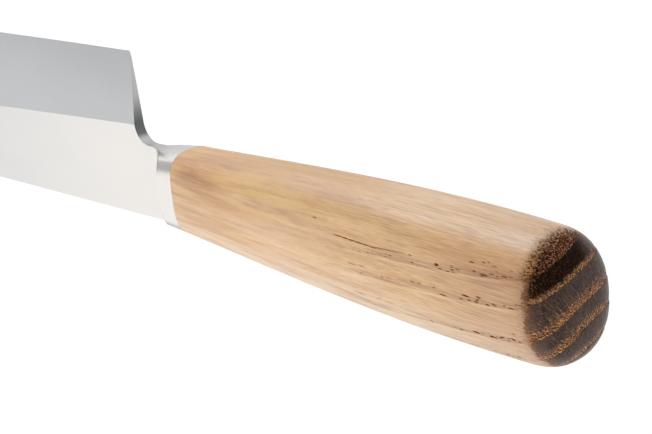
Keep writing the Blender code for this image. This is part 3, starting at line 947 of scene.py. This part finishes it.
def make_blade(steel, bevel_steel, heel_painted_shade_steel):
    """The blade from its outline: eased walls, flat and bevel above, the hollow back below. Its
    walls are four rings of points from the back up, drawn in where the corners are eased."""
    heel, ridge_at_heel = heel_outline()
    places = blade_places(heel[-1][0])
    edge = [(x, edge_y(x)) for x in places[1:-1]]
    spine = [(x, spine_y(x)) for x in reversed(places)]
    outline = [Vector(point) for point in heel + edge + spine + [(NECK_START, spine_y(NECK_START))]]
    count = len(outline)
    bm = bmesh.new()
    rings = []
    edge_start, tip = len(heel) - ARC_STEPS // 2, len(heel) + len(edge)
    for level in range(4):
        ring = []
        for i, point in enumerate(outline):
            before, after = outline[i - 1], outline[(i + 1) % count]
            direction = (after - before).normalized()
            outward = Vector((direction.y, -direction.x))
            ease = CORNER_EASE if i < edge_start or i > tip + 2 else EDGE_THICKNESS / 4
            ease = min(ease, blade_depth(point.x) / 4)
            if i in (0, count - 1):
                ease = 0
            place = point - outward * ease if level in (0, 3) else point
            top = upper_z(place.x, place.y)
            low = BACK_Z if level == 0 else BACK_Z + ease
            z = (BACK_Z, low, max(top - ease, low), top)[level]
            ring.append(bm.verts.new((place.x, place.y, z)))
        rings.append(ring)
    for lower, upper in zip(rings, rings[1:]):
        for i in range(count):
            j = (i + 1) % count
            wall = bm.faces.new((lower[i], lower[j], upper[j], upper[i]))
            # Finish 2, on the heel walls, is painted shade
            wall.material_index = 2 if FIRST_HEEL_WALL <= i < edge_start else 0
    edge_at = {i: len(heel) - 1 + i for i in range(len(places))}
    spine_at = {i: tip + (len(places) - 1 - i) for i in range(len(places))}
    ridge = [bm.verts.new((x, ridge_y(x), face_z(x))) for x in places[:-1]]
    top = rings[3]
    bm.faces.new([*top[:ridge_at_heel + 1], ridge[0], *top[spine_at[0]:]])
    bevel_faces = [bm.faces.new([*top[ridge_at_heel:edge_at[0] + 1], ridge[0]])]
    for i in range(len(places) - 2):
        low, next_low = top[edge_at[i]], top[edge_at[i + 1]]
        high, next_high = top[spine_at[i]], top[spine_at[i + 1]]
        bevel_faces.append(bm.faces.new((low, next_low, ridge[i + 1], ridge[i])))
        bm.faces.new((ridge[i], ridge[i + 1], next_high, high))
    last = len(places) - 2
    bevel_faces.append(bm.faces.new((top[edge_at[last]], top[spine_at[last + 1]], ridge[last])))
    bm.faces.new((ridge[last], top[spine_at[last + 1]], top[spine_at[last]]))
    make_back(bm, rings[0], places, edge_at, spine_at)
    for face in bevel_faces:
        face.material_index = 1
    mesh = bpy.data.meshes.new("blade")
    bm.to_mesh(mesh)
    bm.free()
    return finish_mesh("ground_blade", mesh, [steel, bevel_steel, heel_painted_shade_steel], sharp_degrees=20)


def make_back(bm, bottom, places, edge_at, spine_at):
    """The back: a flat rim around the shallow ground hollow."""
    columns = []
    for i, x in enumerate(places[:-1]):
        rim_low = bottom[edge_at[i]].co.y
        rim_high = bottom[spine_at[i]].co.y
        depth = rim_high - rim_low
        low = rim_low + min(HOLLOW_FROM_EDGE, depth * 0.3)
        high = rim_high - min(HOLLOW_FROM_SPINE, depth * 0.3)
        column = [bottom[edge_at[i]]]
        for row in range(HOLLOW_ROWS + 1):
            share = row / HOLLOW_ROWS
            place = (x, low + (high - low) * share, BACK_Z + hollow_height(x, share))
            column.append(bm.verts.new(place))
        column.append(bottom[spine_at[i]])
        columns.append(column)
    for column, following in zip(columns, columns[1:]):
        for row in range(len(column) - 1):
            bm.faces.new((column[row], column[row + 1], following[row + 1], following[row]))
    tip = bottom[spine_at[len(places) - 1]]
    for row in range(len(columns[-1]) - 1):
        bm.faces.new((columns[-1][row], columns[-1][row + 1], tip))
    around_heel = [*bottom[spine_at[0]:], *bottom[:edge_at[0] + 1]]
    bm.faces.new([*around_heel, *columns[0][1:-1]])


def make_camera():
    data = bpy.data.cameras.new("camera")
    data.sensor_width = SENSOR_WIDTH
    data.lens = SENSOR_WIDTH * FOCAL_PIXELS / PICTURE_WIDTH
    data.clip_start = 0.01
    camera = bpy.data.objects.new("camera", data)
    bpy.context.scene.collection.objects.link(camera)
    back = (EYE - AIM).normalized()
    edge_up = Vector((0, -1, 0))
    right = edge_up.cross(back).normalized()
    up = back.cross(right)
    turn = Matrix((right, up, back)).transposed() @ Matrix.Rotation(CAMERA_ROLL, 3, "Z")
    camera.matrix_world = KNIFE @ Matrix.LocRotScale(EYE, turn.to_quaternion(), None)
    bpy.context.scene.camera = camera


def facing(tree, direction, azimuth, elevation, inner, outer):
    """1 where the direction is within inner degrees of a soft light's middle, and 0 past outer."""
    turn, rise = math.radians(azimuth), math.radians(elevation)
    flat = math.cos(rise)
    middle = (flat * math.cos(turn), flat * math.sin(turn), math.sin(rise))
    node = tree.nodes.new("ShaderNodeVectorMath")
    node.operation = "DOT_PRODUCT"
    feed(tree, node.inputs[0], direction)
    node.inputs[1].default_value = middle
    start, stop = math.cos(math.radians(outer)), math.cos(math.radians(inner))
    return Wire(tree, node.outputs["Value"]).steps(start, stop)


def make_light():
    """A soft studio: a pale surround, a little darker overhead, a broad light beyond the spine,
    three lights beyond the edge, two of them low, and a dark card beside the camera."""
    world = bpy.data.worlds.new("studio")
    world.use_nodes = True
    tree = world.node_tree
    direction = Wire(tree, tree.nodes.new("ShaderNodeTexCoord").outputs["Generated"])
    glow = SURROUND
    for azimuth, elevation, inner, outer, strength in LIGHTS:
        glow = facing(tree, direction, azimuth, elevation, inner, outer) * strength + glow
    background = tree.nodes["Background"]
    background.inputs["Color"].default_value = LIGHT_COLOUR
    tree.links.new(glow.socket, background.inputs["Strength"])
    bpy.context.scene.world = world


def make_floor():
    """A floor that shines by itself, so that it stays as white as a photographer's sheet."""
    bm = bmesh.new()
    bmesh.ops.create_grid(bm, x_segments=1, y_segments=1, size=FLOOR_HALF_SIZE)
    mesh = bpy.data.meshes.new("floor")
    bm.to_mesh(mesh)
    bm.free()
    material, tree, shader = new_material("pale_floor")
    shader.inputs["Base Color"].default_value = FLOOR_COLOUR
    shader.inputs["Roughness"].default_value = 0.9
    shader.inputs["Specular IOR Level"].default_value = 0.0
    shader.inputs["Emission Color"].default_value = (1, 1, 1, 1)
    pool = tree.nodes.new("ShaderNodeVectorMath")
    pool.operation = "DISTANCE"
    place = Wire(tree, tree.nodes.new("ShaderNodeTexCoord").outputs["Object"])
    feed(tree, pool.inputs[0], stretched(place, *POOL_REACH))
    middle = (KNIFE.translation.x + POOL_MIDDLE[0], POOL_MIDDLE[1], 0)
    pool.inputs[1].default_value = [a / b for a, b in zip(middle, POOL_REACH)]
    brightness = Wire(tree, pool.outputs["Value"]).steps(1.0, 0.4) * POOL_BRIGHTNESS + 1.0
    tree.links.new(brightness.socket, shader.inputs["Emission Strength"])
    mesh.materials.append(material)
    floor = bpy.data.objects.new("floor", mesh)
    bpy.context.scene.collection.objects.link(floor)


def dress(piece, node):
    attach(piece, "root")
    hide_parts(node)


def main():
    flat_steel = satin_steel("polished_flat", 0xB6B4B2, 0.20, 0xAAAAAA, 0.20, (ALONG, 140, 215))
    collar_steel = satin_steel("satin_collar", 0xB6B4B2, 0.18, 0xC6C5C4, 0.45, (ACROSS, -7.8, -8.7))
    bevel_steel = satin_steel("satin_bevel", 0x9A9C9F, 0.27, 0x919396, 0.27, (ACROSS, -14, -30))
    # The heel's darker colour is painted shade, the reflection of the shadow under the bolster:
    # darkest around the fillet, lighter up the heel and again at the neck
    heel_painted_shade_steel = satin_steel(
        "heel_painted_shade", 0xB4B4B4, 0.40, 0x56585A, 0.40, (ACROSS, -20.5, -11.8), (-10.3, -8.9)
    )
    make_camera()
    dress(grown("oiled_handle", turned_handle, HANDLE_SIZES, wood()), "handle")
    dress(make_bolster(collar_steel), "bolster")
    dress(make_blade(flat_steel, bevel_steel, heel_painted_shade_steel), "blade")
    for node, finish in (("tang", plain_finish("mill_steel", 0x9A9A9C, 0.45, 1.0)),
                         ("tang_adhesive", plain_finish("cured_epoxy", 0xD8C690, 0.35, 0.0))):
        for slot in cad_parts[node].material_slots:
            slot.material = finish
    make_floor()
    make_light()
    bpy.context.scene.view_settings.view_transform = "Standard"


main()
